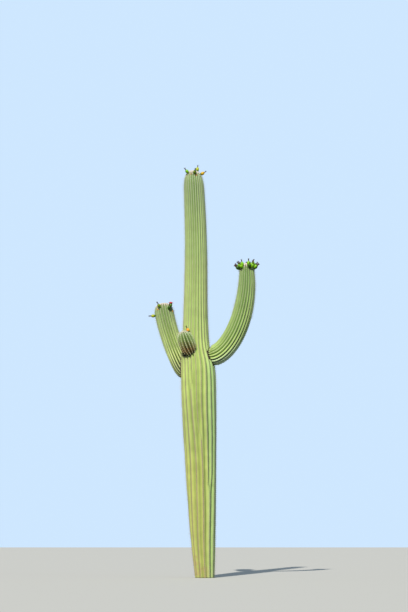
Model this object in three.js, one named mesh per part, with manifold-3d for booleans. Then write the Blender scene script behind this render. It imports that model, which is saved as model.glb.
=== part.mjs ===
// Saguaro cactus: a tall ribbed trunk, a long arm on each side, a young round arm in front,
// and fruit on every tip.
// Millimetres, +Z up. The origin is the middle of the flat cut where the trunk leaves the ground.
// Seen from the front, which is along +Y, +X is to the right.
import * as THREE from "three";
import { mergeVertices } from "three/addons/utils/BufferGeometryUtils.js";
import Module from "manifold-3d";

const wasm = await Module();
wasm.setup();
const { clamp, lerp, smoothstep, degToRad } = THREE.MathUtils;

// The trunk from the ground to its blunt crown: at each height, how far its middle has leaned
// along +X, and the radius over its ribs. It is narrow at the ground, widest below the arms,
// drawn in sharply beside them, and slender above.
const TRUNK = {
  stations: [
    { height: 0, middle: 0, radius: 124 },
    { height: 620, middle: -28, radius: 166 },
    { height: 1440, middle: -54, radius: 200 },
    { height: 2280, middle: -76, radius: 226 },
    { height: 2740, middle: -90, radius: 222 },
    { height: 2990, middle: -118, radius: 184 },
    { height: 3220, middle: -122, radius: 167 },
    { height: 4330, middle: -117, radius: 145 },
    { height: 4830, middle: -131, radius: 140 },
    { height: 5390, middle: -156, radius: 130 },
  ],
  height: 5390,
  shoulderFoot: 2740,
  shoulderTop: 3220,
  domeLength: 290,
};

// The trunk's ribs. It has few at the foot, and each of those forks in two at its own height.
// A rib widens over a long stretch round its fork, and its new groove deepens over a short one.
const TRUNK_RIBS = {
  atFoot: 13,
  start: degToRad(64),
  firstFork: 600,
  forkStep: 220,
  forkSkip: 10,
  widenFrom: -500,
  widenTo: 1300,
  grooveTo: 350,
};

// Each arm lies in an upright plane, turned by azimuth about +Z from +X, that passes the trunk's
// axis at the distance aside. Its axis is a Bezier curve, whose four points are given as distance
// out and height. It leaves the trunk as a narrow neck and swells at once to its full radius.
const RIGHT_ARM = {
  azimuth: degToRad(-12),
  aside: 0,
  axis: [[140, 2885], [368, 2784], [732, 3318], [674, 4085]],
  neckRadius: 105,
  neckEnd: 66,
  swellLength: 55,
  fullRadius: 137,
  tipRadius: 98,
  taperPower: 2.8,
  domeLength: 110,
  ribs: 20,
};
const LEFT_ARM = {
  azimuth: degToRad(148),
  aside: 0,
  axis: [[130, 2600], [262, 2692], [512, 3239], [570, 3620]],
  neckRadius: 90,
  neckEnd: 80,
  swellLength: 130,
  fullRadius: 124,
  tipRadius: 127,
  taperPower: 1,
  domeLength: 160,
  ribs: 20,
};
const FRONT_ARM = {
  azimuth: degToRad(-137),
  aside: 60,
  axis: [[148, 2886], [184, 2930], [262, 3056], [298, 3164]],
  neckRadius: 40,
  neckEnd: 0,
  swellLength: 160,
  fullRadius: 107,
  tipRadius: 104,
  taperPower: 1,
  domeLength: 190,
  ribs: 14,
};
// The right arm bends round a wide gap, so it is two limbs that meet at this share of its length.
const RIGHT_ARM_BEND = 0.52;

// Rib relief: how deep a groove is for its width, how round a crest is, and points across a rib.
const TRUNK_GROOVE_DEPTH = 0.4;
const ARM_GROOVE_DEPTH = 0.5;
const CREST_ROUNDNESS = 0.9;
const POINTS_PER_RIB = 4;
const DOME_BLUNTNESS = 2.8;

// One fruit with its dried flower, from its root in the stem to the flower's end.
const FRUIT = {
  sunk: 12,
  rootRadius: 12,
  bodyRadius: 22.5,
  bodyHeight: 34,
  collarRadius: 9,
  collarHeight: 64,
  flowerRadius: 6,
  flowerEnd: 104,
  sides: 6,
};
const WELD_DISTANCE = 0.01;

// Where fruit stands on a stem: the azimuth of its root about +Z in degrees, how far that is
// below the stem's tip, and how many degrees the fruit leans out from the stem's axis.
const TRUNK_FRUIT = [
  { turn: -142, below: 44, lean: 50 },
  { turn: -80, below: 58, lean: 58 },
  { turn: -10, below: 52, lean: 62 },
  { turn: -20, below: 12, lean: 6 },
  { turn: 70, below: 80, lean: 42 },
  { turn: 110, below: 86, lean: 46 },
];
const LEFT_ARM_FRUIT = [
  { turn: -166, below: 148, lean: 84 },
  { turn: -105, below: 70, lean: 46 },
  { turn: -47, below: 86, lean: 24 },
  { turn: -60, below: 122, lean: 40 },
  { turn: 58, below: 124, lean: 56 },
  { turn: 105, below: 120, lean: 56 },
];
const FRONT_ARM_FRUIT = [{ turn: 0, below: 30, lean: -10 }];
const RIGHT_ARM_FRUIT = [
  ...fruitRing({ count: 13, below: 68, lean: 50, first: -80, gap: -98 }),
  ...fruitRing({ count: 8, below: 54, lean: 38, first: -52, gap: -97 }),
  ...fruitRing({ count: 7, below: 40, lean: 12, first: -123 }),
];

// Touching limbs keep this much clear of each other.
const CLEARANCE = 0.3;
// The trunk is grown by this much where it trims an arm's root, because its grooves slope.
const TRIM_GROWTH = 0.6;

const SKIN = { color: 0x9fae62, roughness: 0.62, metalness: 0 };
const ARM_SKIN = { color: 0x8da45c, roughness: 0.62, metalness: 0 };
const YOUNG_SKIN = { color: 0x7a8a55, roughness: 0.7, metalness: 0 };

// The outline of a blunt dome: 1 at its foot, where share is 0, and 0 at its top.
function domeShare(share) {
  return (1 - clamp(share, 0, 1) ** DOME_BLUNTNESS) ** (1 / DOME_BLUNTNESS);
}

// The trunk's middle and radius are smooth curves through its stations.
const trunkCurve = new THREE.CubicInterpolant(
  TRUNK.stations.map((station) => station.height),
  TRUNK.stations.flatMap((station) => [station.middle, station.radius]),
  2,
);

function trunkRadius(z) {
  const domeFoot = TRUNK.height - TRUNK.domeLength;
  return trunkCurve.evaluate(z)[1] * domeShare((z - domeFoot) / TRUNK.domeLength);
}

function trunkAxis(z) {
  return new THREE.Vector3(trunkCurve.evaluate(z)[0], 0, z);
}

// The trunk's ribs at a height: how wide each is, and how far it has split in two.
function trunkRibs(z) {
  const ribs = TRUNK_RIBS;
  return Array.from({ length: ribs.atFoot }, (_, i) => {
    const fork = ribs.firstFork + ribs.forkStep * ((i * ribs.forkSkip) % ribs.atFoot);
    return {
      width: 1 + smoothstep(z, fork + ribs.widenFrom, fork + ribs.widenTo),
      split: smoothstep(z, fork, fork + ribs.grooveTo),
    };
  });
}

// The height of a rib's surface over its groove, from 0 in the groove to 1 on the crest.
function crest(across) {
  return Math.abs(Math.sin(Math.PI * across)) ** CREST_ROUNDNESS;
}

// One ring of points round a stem, as angles and radii. The radius given is that of the crests.
function ribbedRing(radius, { ribs, start, depth, points }) {
  const total = ribs.reduce((sum, rib) => sum + rib.width, 0);
  const groove = (depth * 2 * Math.PI * radius) / total;
  const ring = [];
  let before = 0;
  for (const { width, split } of ribs) {
    for (let i = 0; i < points; i++) {
      const across = i / points;
      ring.push({
        angle: start + (2 * Math.PI * (before + across * width)) / total,
        radius: radius - groove * (1 - lerp(crest(across), crest(2 * across), split)),
      });
    }
    before += width;
  }
  return ring;
}

// A closed solid through rings of points. Each section holds a middle, two directions across
// and a ring, and the solid ends in flat or pointed fans round the first and last middles.
function loft(sections, endPoint) {
  const count = sections[0].ring.length;
  const position = [];
  const index = [];
  for (const { middle, across, side, ring } of sections) {
    for (const { angle, radius } of ring) {
      const p = middle.clone()
        .addScaledVector(across, radius * Math.cos(angle))
        .addScaledVector(side, radius * Math.sin(angle));
      position.push(p.x, p.y, p.z);
    }
  }
  const first = position.length / 3;
  const last = first + 1;
  position.push(...sections[0].middle.toArray(), ...endPoint.toArray());
  for (let i = 0; i < count; i++) {
    const next = (i + 1) % count;
    const top = (sections.length - 1) * count;
    index.push(first, next, i, last, top + i, top + next);
    for (let j = 0; j < sections.length - 1; j++) {
      const low = j * count;
      const high = low + count;
      index.push(low + i, low + next, high + next, low + i, high + next, high + i);
    }
  }
  return solidFrom(position, index);
}

function solidFrom(position, index) {
  return new wasm.Manifold(new wasm.Mesh({
    numProp: 3,
    vertProperties: new Float32Array(position),
    triVerts: new Uint32Array(index),
  }));
}

// Evenly spaced values from low to high, count of them, both ends included.
function spaced(low, high, count) {
  return Array.from({ length: count }, (_, i) => lerp(low, high, i / (count - 1)));
}

// Where rings of points lie: shares of a dome's length, closer together towards the top, shares
// of an arm's swelling, and how many there are along the other stretches, both ends included.
const DOME_RINGS = [0.3, 0.55, 0.75, 0.89, 0.97];
const SWELL_RINGS = [0, 0.1, 0.4, 1];
const TRUNK_RINGS = { footTop: 240, foot: 3, low: 11, shoulder: 6, high: 6 };
const ARM_RINGS = 8;
// An arm's rings keep this far from its cut ends.
const RING_MARGIN = 1;

function trunkSolid(growth = 0) {
  const domeFoot = TRUNK.height - TRUNK.domeLength;
  const heights = [
    ...spaced(0, TRUNK_RINGS.footTop, TRUNK_RINGS.foot),
    ...spaced(TRUNK_RINGS.footTop, TRUNK.shoulderFoot, TRUNK_RINGS.low).slice(1),
    ...spaced(TRUNK.shoulderFoot, TRUNK.shoulderTop, TRUNK_RINGS.shoulder).slice(1),
    ...spaced(TRUNK.shoulderTop, domeFoot, TRUNK_RINGS.high).slice(1),
    ...DOME_RINGS.map((share) => domeFoot + share * TRUNK.domeLength),
  ];
  const sections = heights.map((z) => ({
    middle: trunkAxis(z),
    across: new THREE.Vector3(1, 0, 0),
    side: new THREE.Vector3(0, 1, 0),
    ring: ribbedRing(trunkRadius(z) + growth, {
      ribs: trunkRibs(z),
      start: TRUNK_RIBS.start,
      depth: TRUNK_GROOVE_DEPTH,
      points: 2 * POINTS_PER_RIB,
    }),
  }));
  return loft(sections, trunkAxis(TRUNK.height));
}

// An arm as a shape that can be asked for its middle, frame and radius at any distance along it.
class Arm {
  constructor(plan) {
    this.plan = plan;
    const rootHeight = plan.axis[0][1];
    const out = new THREE.Vector3(Math.cos(plan.azimuth), Math.sin(plan.azimuth), 0);
    this.side = new THREE.Vector3(-out.y, out.x, 0);
    const foot = trunkAxis(rootHeight).setZ(0).addScaledVector(this.side, plan.aside);
    const points = plan.axis.map(([distance, height]) =>
      foot.clone().addScaledVector(out, distance).setZ(height));
    this.curve = new THREE.CubicBezierCurve3(...points);
    this.length = this.curve.getLength();
  }

  radiusAt(along) {
    const p = this.plan;
    const swell = clamp((along - p.neckEnd) / p.swellLength, 0, 1);
    const domeFoot = this.length - p.domeLength;
    const full = lerp(p.fullRadius, p.tipRadius, clamp(along / domeFoot, 0, 1) ** p.taperPower);
    const grown = lerp(p.neckRadius, full, Math.sqrt(1 - (1 - swell) ** 2));
    return grown * domeShare((along - domeFoot) / p.domeLength);
  }

  frameAt(along) {
    const share = clamp(along / this.length, 0, 1);
    const tangent = this.curve.getTangentAt(share);
    const across = this.side.clone().cross(tangent).normalize();
    return { middle: this.curve.getPointAt(share), across, side: this.side, tangent };
  }

  // The arm between two distances along it. The part that ends at the tip closes to a point.
  solid(from, to) {
    const p = this.plan;
    const domeFoot = this.length - p.domeLength;
    const wanted = [
      ...SWELL_RINGS.map((share) => p.neckEnd + share * p.swellLength),
      ...spaced(p.neckEnd + p.swellLength, domeFoot, ARM_RINGS).slice(1),
      ...DOME_RINGS.map((share) => domeFoot + share * p.domeLength),
    ];
    const inside = wanted.filter((along) =>
      along > from + RING_MARGIN && along < to - RING_MARGIN);
    const ends = to < this.length ? [to] : [];
    const relief = {
      ribs: new Array(p.ribs).fill({ width: 1, split: 0 }),
      start: 0,
      depth: ARM_GROOVE_DEPTH,
      points: POINTS_PER_RIB,
    };
    const sections = [from, ...inside, ...ends].map((along) => ({
      ...this.frameAt(along),
      ring: ribbedRing(this.radiusAt(along), relief),
    }));
    return loft(sections, this.frameAt(Math.min(to, this.length)).middle);
  }
}

// The fruit's profile turned round +Y: its root at 0, its dried flower at the far end.
function fruitSolid() {
  const f = FRUIT;
  const profile = [
    [0, -f.sunk],
    [f.rootRadius, -f.sunk],
    [f.bodyRadius, f.bodyHeight],
    [f.collarRadius, f.collarHeight],
    [f.flowerRadius, f.flowerEnd],
    [0, f.flowerEnd],
  ].map(([x, y]) => new THREE.Vector2(x, y));
  const turned = new THREE.LatheGeometry(profile, f.sides);
  turned.deleteAttribute("normal");
  turned.deleteAttribute("uv");
  const merged = mergeVertices(turned, WELD_DISTANCE);
  return solidFrom(merged.attributes.position.array, merged.index.array);
}

// An even ring of fruit. A gap leaves out the one nearest to that azimuth.
function fruitRing({ count, below, lean, first, gap }) {
  const step = 360 / count;
  const left = gap === undefined ? -1 : Math.round((gap - first) / step + count) % count;
  return Array.from({ length: count }, (_, i) => ({ turn: first + i * step, below, lean }))
    .filter((_, i) => i !== left);
}

// Fuses fruit to the tip of a stem, each on the crest nearest to its azimuth. The stem is told
// by its ribs, its length, and its frame and radius at a distance along it.
function withFruit(stem, places, { ribs, start, length, frameAt, radiusAt }) {
  const fruit = fruitSolid();
  const lathe = new THREE.Vector3(0, 1, 0);
  const pitch = (2 * Math.PI) / ribs;
  let fused = stem;
  for (const { turn, below, lean } of places) {
    const { middle, across, side, tangent } = frameAt(length - below);
    const level = new THREE.Vector3(Math.cos(degToRad(turn)), Math.sin(degToRad(turn)), 0);
    const wanted = Math.atan2(level.dot(side), level.dot(across));
    const angle = start + pitch * (Math.round((wanted - start) / pitch - 0.5) + 0.5);
    const out = across.clone().multiplyScalar(Math.cos(angle))
      .addScaledVector(side, Math.sin(angle));
    const way = tangent.clone().multiplyScalar(Math.cos(degToRad(lean)))
      .addScaledVector(out, Math.sin(degToRad(lean)));
    const place = new THREE.Matrix4().compose(
      middle.clone().addScaledVector(out, radiusAt(length - below)),
      new THREE.Quaternion().setFromUnitVectors(lathe, way),
      new THREE.Vector3(1, 1, 1),
    );
    fused = fused.add(fruit.transform(place.elements));
  }
  return fused;
}

function armStem(arm) {
  return {
    ribs: arm.plan.ribs,
    start: 0,
    length: arm.length,
    frameAt: (along) => arm.frameAt(along),
    radiusAt: (along) => arm.radiusAt(along),
  };
}

const trunkStem = {
  ribs: 2 * TRUNK_RIBS.atFoot,
  start: TRUNK_RIBS.start,
  length: TRUNK.height,
  radiusAt: trunkRadius,
  frameAt: (z) => ({
    middle: trunkAxis(z),
    across: new THREE.Vector3(1, 0, 0),
    side: new THREE.Vector3(0, 1, 0),
    tangent: new THREE.Vector3(0, 0, 1),
  }),
};

const root = new THREE.Group();

function addNode(name, solid, look) {
  const made = solid.getMesh();
  const geometry = new THREE.BufferGeometry()
    .setAttribute("position", new THREE.BufferAttribute(made.vertProperties, 3))
    .setIndex(new THREE.BufferAttribute(made.triVerts, 1));
  geometry.computeVertexNormals();
  const mesh = new THREE.Mesh(geometry, new THREE.MeshStandardMaterial(look));
  mesh.name = name;
  root.add(mesh);
}

const grownTrunk = trunkSolid(TRIM_GROWTH);

// The part of a limb that stands outside the trunk.
function outsideTrunk(limb) {
  const bodies = limb.subtract(grownTrunk).decompose();
  return bodies.reduce((main, body) => (body.volume() > main.volume() ? body : main));
}

const rightArm = new Arm(RIGHT_ARM);
const leftArm = new Arm(LEFT_ARM);
const frontArm = new Arm(FRONT_ARM);
const bend = RIGHT_ARM_BEND * rightArm.length;
const elbow = rightArm.solid(0, bend);
const forearm = rightArm.solid(bend + CLEARANCE, rightArm.length);
const leftLimb = leftArm.solid(0, leftArm.length);
const frontLimb = frontArm.solid(0, frontArm.length);

addNode("trunk", withFruit(trunkSolid(), TRUNK_FRUIT, trunkStem), SKIN);
addNode("right_arm_elbow", outsideTrunk(elbow), ARM_SKIN);
addNode("right_arm_upper", withFruit(forearm, RIGHT_ARM_FRUIT, armStem(rightArm)), ARM_SKIN);
addNode("left_arm", withFruit(outsideTrunk(leftLimb), LEFT_ARM_FRUIT, armStem(leftArm)), ARM_SKIN);
addNode(
  "front_arm",
  withFruit(outsideTrunk(frontLimb), FRONT_ARM_FRUIT, armStem(frontArm)),
  YOUNG_SKIN,
);

export default root;
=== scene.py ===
import random
from math import atan2, cos, hypot, pi, radians, sin, sqrt

import bpy
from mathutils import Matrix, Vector


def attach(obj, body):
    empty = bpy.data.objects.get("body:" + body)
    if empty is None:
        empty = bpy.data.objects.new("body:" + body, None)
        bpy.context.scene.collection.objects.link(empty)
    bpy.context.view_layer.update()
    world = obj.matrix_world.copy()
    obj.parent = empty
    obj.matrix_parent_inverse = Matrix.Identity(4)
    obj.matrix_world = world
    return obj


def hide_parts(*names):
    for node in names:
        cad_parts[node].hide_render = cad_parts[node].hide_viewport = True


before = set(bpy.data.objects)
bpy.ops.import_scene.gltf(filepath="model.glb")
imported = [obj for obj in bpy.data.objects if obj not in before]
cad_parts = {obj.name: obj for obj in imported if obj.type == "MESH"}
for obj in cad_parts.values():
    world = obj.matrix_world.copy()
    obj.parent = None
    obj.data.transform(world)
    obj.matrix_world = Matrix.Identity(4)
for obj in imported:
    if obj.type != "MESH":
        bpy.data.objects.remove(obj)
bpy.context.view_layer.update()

scene = bpy.context.scene

# The trunk at each height: how far its middle has leaned along +X, and its radius over its ribs.
TRUNK_STATIONS = [
    (0.0, 0.0, 0.124), (0.62, -0.028, 0.166), (1.44, -0.054, 0.2), (2.28, -0.076, 0.226),
    (2.74, -0.09, 0.222), (2.99, -0.118, 0.184), (3.22, -0.122, 0.167), (4.33, -0.117, 0.145),
    (4.83, -0.131, 0.14), (5.39, -0.156, 0.13),
]
MIDDLE = 1
RADIUS = 2

# The trunk has few ribs at its foot, and each of them forks in two at its own height.
TRUNK_RIBS = {
    "Ribs": 13, "Columns per Rib": 16, "Start Angle": radians(64),
    "First Fork": 0.6, "Fork Step": 0.22, "Fork Skip": 10,
    "Widen From": -0.5, "Widen To": 1.3, "Groove To": 0.35, "Groove Depth": 0.4,
    "Areole Height": 0.0022,
}
# An arm's ribs never fork, so their forks lie beyond its tip.
BEYOND_TIP = 99.0
ARM_RIBS = {
    **TRUNK_RIBS, "Columns per Rib": 12, "Start Angle": 0.0, "First Fork": BEYOND_TIP,
    "Groove Depth": 0.5,
}
CREST_ROUNDNESS = 0.9
DOME_BLUNTNESS = 2.8
RING_SPACING = 0.0125
SEAM_WIDTH = 0.0001
# How far the skin wanders from an even turn, in radians, and from an even radius, as a share.
SWAY = 0.05
SWELLING = 0.03

# A rib counts as two once its fork is split this far. The cushions on the crests are sharp bumps,
# which fade out where a stem's radius falls from the second number to the first.
SPLIT_ENOUGH = 0.35
AREOLE_SHARPNESS = 6
AREOLES_FADE = (0.01, 0.05)

# Spines lean from the skin's outward way by these radians, and the long ones droop as well.
LOW_LEAN = (1.0, 1.42)
LONG_LEAN = (0.1, 0.75)
LONG_DROOP = 0.3
# How much the sizes of spines and tufts of wool vary, as shares.
SPINE_LENGTHS = (0.6, 1.15)
WOOL_SIZES = (0.75, 1.2)

# Each arm lies in an upright plane, turned by azimuth about +Z from +X, that passes the trunk's
# axis at the distance aside. Its axis is a Bezier curve, given as distance out and height.
RIGHT_ARM = {
    "azimuth": -12, "aside": 0.0,
    "axis": [(0.14, 2.885), (0.368, 2.784), (0.732, 3.318), (0.674, 4.085)],
    "neck_radius": 0.105, "neck_end": 0.066, "swell_length": 0.055, "full_radius": 0.137,
    "tip_radius": 0.098, "taper_power": 2.8, "dome_length": 0.11, "ribs": 20,
    "areole_height": 0.0018,
}
LEFT_ARM = {
    "azimuth": 148, "aside": 0.0,
    "axis": [(0.13, 2.6), (0.262, 2.692), (0.512, 3.239), (0.57, 3.62)],
    "neck_radius": 0.09, "neck_end": 0.08, "swell_length": 0.13, "full_radius": 0.124,
    "tip_radius": 0.127, "taper_power": 1, "dome_length": 0.16, "ribs": 20,
    "areole_height": 0.0018,
}
FRONT_ARM = {
    "azimuth": -137, "aside": 0.06,
    "axis": [(0.148, 2.886), (0.184, 2.93), (0.262, 3.056), (0.298, 3.164)],
    "neck_radius": 0.04, "neck_end": 0.0, "swell_length": 0.16, "full_radius": 0.107,
    "tip_radius": 0.104, "taper_power": 1, "dome_length": 0.19, "ribs": 14,
    "areole_height": 0.002,
}

# A fruit's depth in the skin, its radius, and how far out it and its dried flower reach.
FRUIT_SUNK = 0.012
FRUIT_RADIUS = 0.0215
FRUIT_LENGTH = 0.064
FLOWER_END = 0.104

# A dried flower's tube, as the height of each point above its foot and its radius, and the shreds
# of petals on it. The lobes of an opened fruit's rind are told as the shreds are.
FLOWER_FOOT = FRUIT_LENGTH - 0.006
FLOWER_TUBE = [(0.0, 0.0), (0.001, 0.0085), (0.007, 0.0074), (0.014, 0.005), (0.022, 0.0058),
               (0.028, 0.007), (0.026, 0.0)]
SHREDS = 11
SHRED_FOOT = FLOWER_FOOT + 0.024
SHRED_WIDTHS = [0.0042, 0.004, 0.0032, 0.002, 0.0006]
SHRED_THICKNESS = 0.0009
LOBES = 4
LOBE_WIDTHS = [0.016, 0.022, 0.025, 0.024, 0.019, 0.011, 0.001]
LOBE_THICKNESS = 0.0022

# Where fruit stands on a stem: the azimuth of its root about +Z in degrees, how far that is
# below the stem's tip, how many degrees it leans out from the stem's axis, and its ripeness. The
# dark kind is dark green fruit that partly stands in as painted shade among the fruit.
TRUNK_FRUIT = [
    (-142, 0.044, 50, "green"), (-80, 0.058, 58, "olive"), (-10, 0.052, 62, "golden"),
    (-20, 0.012, 6, "yellow"), (70, 0.08, 42, "green"), (110, 0.086, 46, "green"),
]
LEFT_ARM_FRUIT = [
    (-166, 0.148, 84, "yellow"), (-105, 0.07, 46, "olive"), (-47, 0.086, 24, "opened"),
    (-60, 0.122, 40, "dark"), (58, 0.124, 56, "green"), (105, 0.12, 56, "green"),
]
FRONT_ARM_FRUIT = [(0, 0.03, -10, "orange")]

# The middle of the painted shadow on the trunk's side under the young arm, where that arm grows
# out.
YOUNG_ARM_SHADOW_MIDDLE = Vector((-0.262, -0.12, 2.908))

# Scars of fallen fruit, told as the fruit is.
TRUNK_SCARS = [(-104, 0.066, 90, "scar"), (-62, 0.078, 90, "scar")]
LEFT_ARM_SCARS = [(-140, 0.088, 90, "scar"), (-22, 0.14, 90, "scar")]


def linear(*channels):
    """A colour as it looks on a screen, 0 to 255, as the linear values that materials take."""
    shares = [channel / 255 for channel in channels]
    return (*[s / 12.92 if s < 0.04045 else ((s + 0.055) / 1.055) ** 2.4 for s in shares], 1.0)


def blend(low, high, share):
    return low + (high - low) * share


def clamp(value):
    return max(0.0, min(1.0, value))


# Node trees. A Value is an output of a node, with which formulas read as plain arithmetic.
class Value:
    def __init__(self, tree, socket):
        self.tree = tree
        self.socket = socket

    def other(self, name):
        """Another output of the same node."""
        return Value(self.tree, self.socket.node.outputs[name])

    def __add__(self, term):
        return combined("ADD", self, term)

    __radd__ = __add__

    def __sub__(self, term):
        return combined("SUBTRACT", self, term)

    def __rsub__(self, term):
        return combined("SUBTRACT", term, self)

    def __mul__(self, term):
        return combined("MULTIPLY", self, term)

    def __truediv__(self, term):
        return combined("DIVIDE", self, term)

    def __pow__(self, term):
        return calculated("POWER", self, term)


def place(tree, kind, inputs=None, out=0, **settings):
    """Places a node, feeds its inputs by name or number, and gives back one of its outputs."""
    made = tree.nodes.new(kind)
    for name, setting in settings.items():
        setattr(made, name, setting)
    for key, term in (inputs or {}).items():
        if isinstance(term, Value):
            tree.links.new(term.socket, made.inputs[key])
        else:
            made.inputs[key].default_value = term
    return Value(tree, made.outputs[out])


def tree_of(*terms):
    return next(term.tree for term in terms if isinstance(term, Value))


def calculated(operation, *terms, kind="ShaderNodeMath", out=0):
    return place(tree_of(*terms), kind, dict(enumerate(terms)), out, operation=operation)


def vector_calculated(operation, *terms, out=0):
    return calculated(operation, *terms, kind="ShaderNodeVectorMath", out=out)


def is_vector(term):
    return isinstance(term, Value) and term.socket.type == "VECTOR"


def data_type(term):
    return "FLOAT_VECTOR" if is_vector(term) else "FLOAT"


def combined(operation, first, second):
    """Plain or vector arithmetic, whichever the terms call for."""
    vectors = is_vector(first) + is_vector(second)
    if not vectors:
        return calculated(operation, first, second)
    if operation == "MULTIPLY" and vectors == 1:
        return place(first.tree, "ShaderNodeVectorMath", {0: first, 3: second}, operation="SCALE")
    return vector_calculated(operation, first, second)


def sine(term):
    return calculated("SINE", term)


def cosine(term):
    return calculated("COSINE", term)


def is_less(first, second):
    return calculated("LESS_THAN", first, second)


def is_equal(first, second, tolerance=0.25):
    """Whether two whole numbers are the same."""
    return calculated("COMPARE", first, second, tolerance)


def smooth_step(term, low, high):
    """0 below low, 1 above high, and a smooth rise between them."""
    inputs = {"Value": term, "From Min": low, "From Max": high}
    return place(term.tree, "ShaderNodeMapRange", inputs, interpolation_type="SMOOTHSTEP")


def unit(vector):
    return vector_calculated("NORMALIZE", vector)


def new_tree(name, tree_type, inputs, outputs):
    """A node group with inputs and outputs of these types and names, and its inputs as Values."""
    tree = bpy.data.node_groups.new(name, tree_type)
    for side, types in (("INPUT", inputs), ("OUTPUT", outputs)):
        for kind, labels in types.items():
            for label in labels:
                tree.interface.new_socket(label, in_out=side, socket_type="NodeSocket" + kind)
    entry = tree.nodes.new("NodeGroupInput")
    tree.nodes.new("NodeGroupOutput")
    return tree, {socket.name: Value(tree, socket) for socket in entry.outputs if socket.name}


def give_out(name, term):
    term.tree.links.new(term.socket, term.tree.nodes["Group Output"].inputs[name])


def new_geometry_tree(name, **inputs):
    inputs = {"Geometry": ["Geometry"], **inputs, "Material": ["Material"]}
    return new_tree(name, "GeometryNodeTree", inputs, {"Geometry": ["Geometry"]})


def finish_tree(geometry, material):
    """Ends a geometry tree with real geometry in its material."""
    tree = geometry.tree
    real = place(tree, "GeometryNodeRealizeInstances", {0: geometry})
    inputs = {"Geometry": real, "Material": material}
    give_out("Geometry", place(tree, "GeometryNodeSetMaterial", inputs))
    return tree


def stored(tree, name, kind="FLOAT"):
    return place(tree, "GeometryNodeInputNamedAttribute", {"Name": name}, data_type=kind)


def keep(geometry, **terms):
    """Geometry that holds these terms at its points, each under its name."""
    for name, term in terms.items():
        inputs = {"Geometry": geometry, "Name": name, "Value": term}
        kind = "GeometryNodeStoreNamedAttribute"
        geometry = place(geometry.tree, kind, inputs, data_type=data_type(term))
    return geometry


def chance(tree, low, high, seed):
    """A random number between low and high, with a fixed seed, for each element."""
    return place(tree, "FunctionNodeRandomValue", {2: low, 3: high, 8: seed}, out=1)


def noise(vector, scale, detail=2.0):
    inputs = {"Vector": vector, "Scale": scale, "Detail": detail}
    return place(vector.tree, "ShaderNodeTexNoise", inputs)


def areole_pattern(ring, rib, offset, per_rib, split):
    """Whether a rib has spine cushions at a ring, as it has at every other one, in turn with its
    neighbours, and whether the column at this offset in the rib carries one."""
    is_split = 1 - is_less(split, SPLIT_ENOUGH)
    half = 1 - is_less(offset / per_rib, 0.5)
    rib_number = rib + is_split * (rib + half)
    has_areoles = is_equal(calculated("MODULO", ring + rib_number, 2), 0)
    main_crest = is_equal(offset, per_rib / 2) * (1 - is_split)
    fork_crests = is_equal(offset, per_rib / 4) + is_equal(offset, per_rib * 0.75)
    return has_areoles, has_areoles * (main_crest + fork_crests * is_split)


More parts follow.
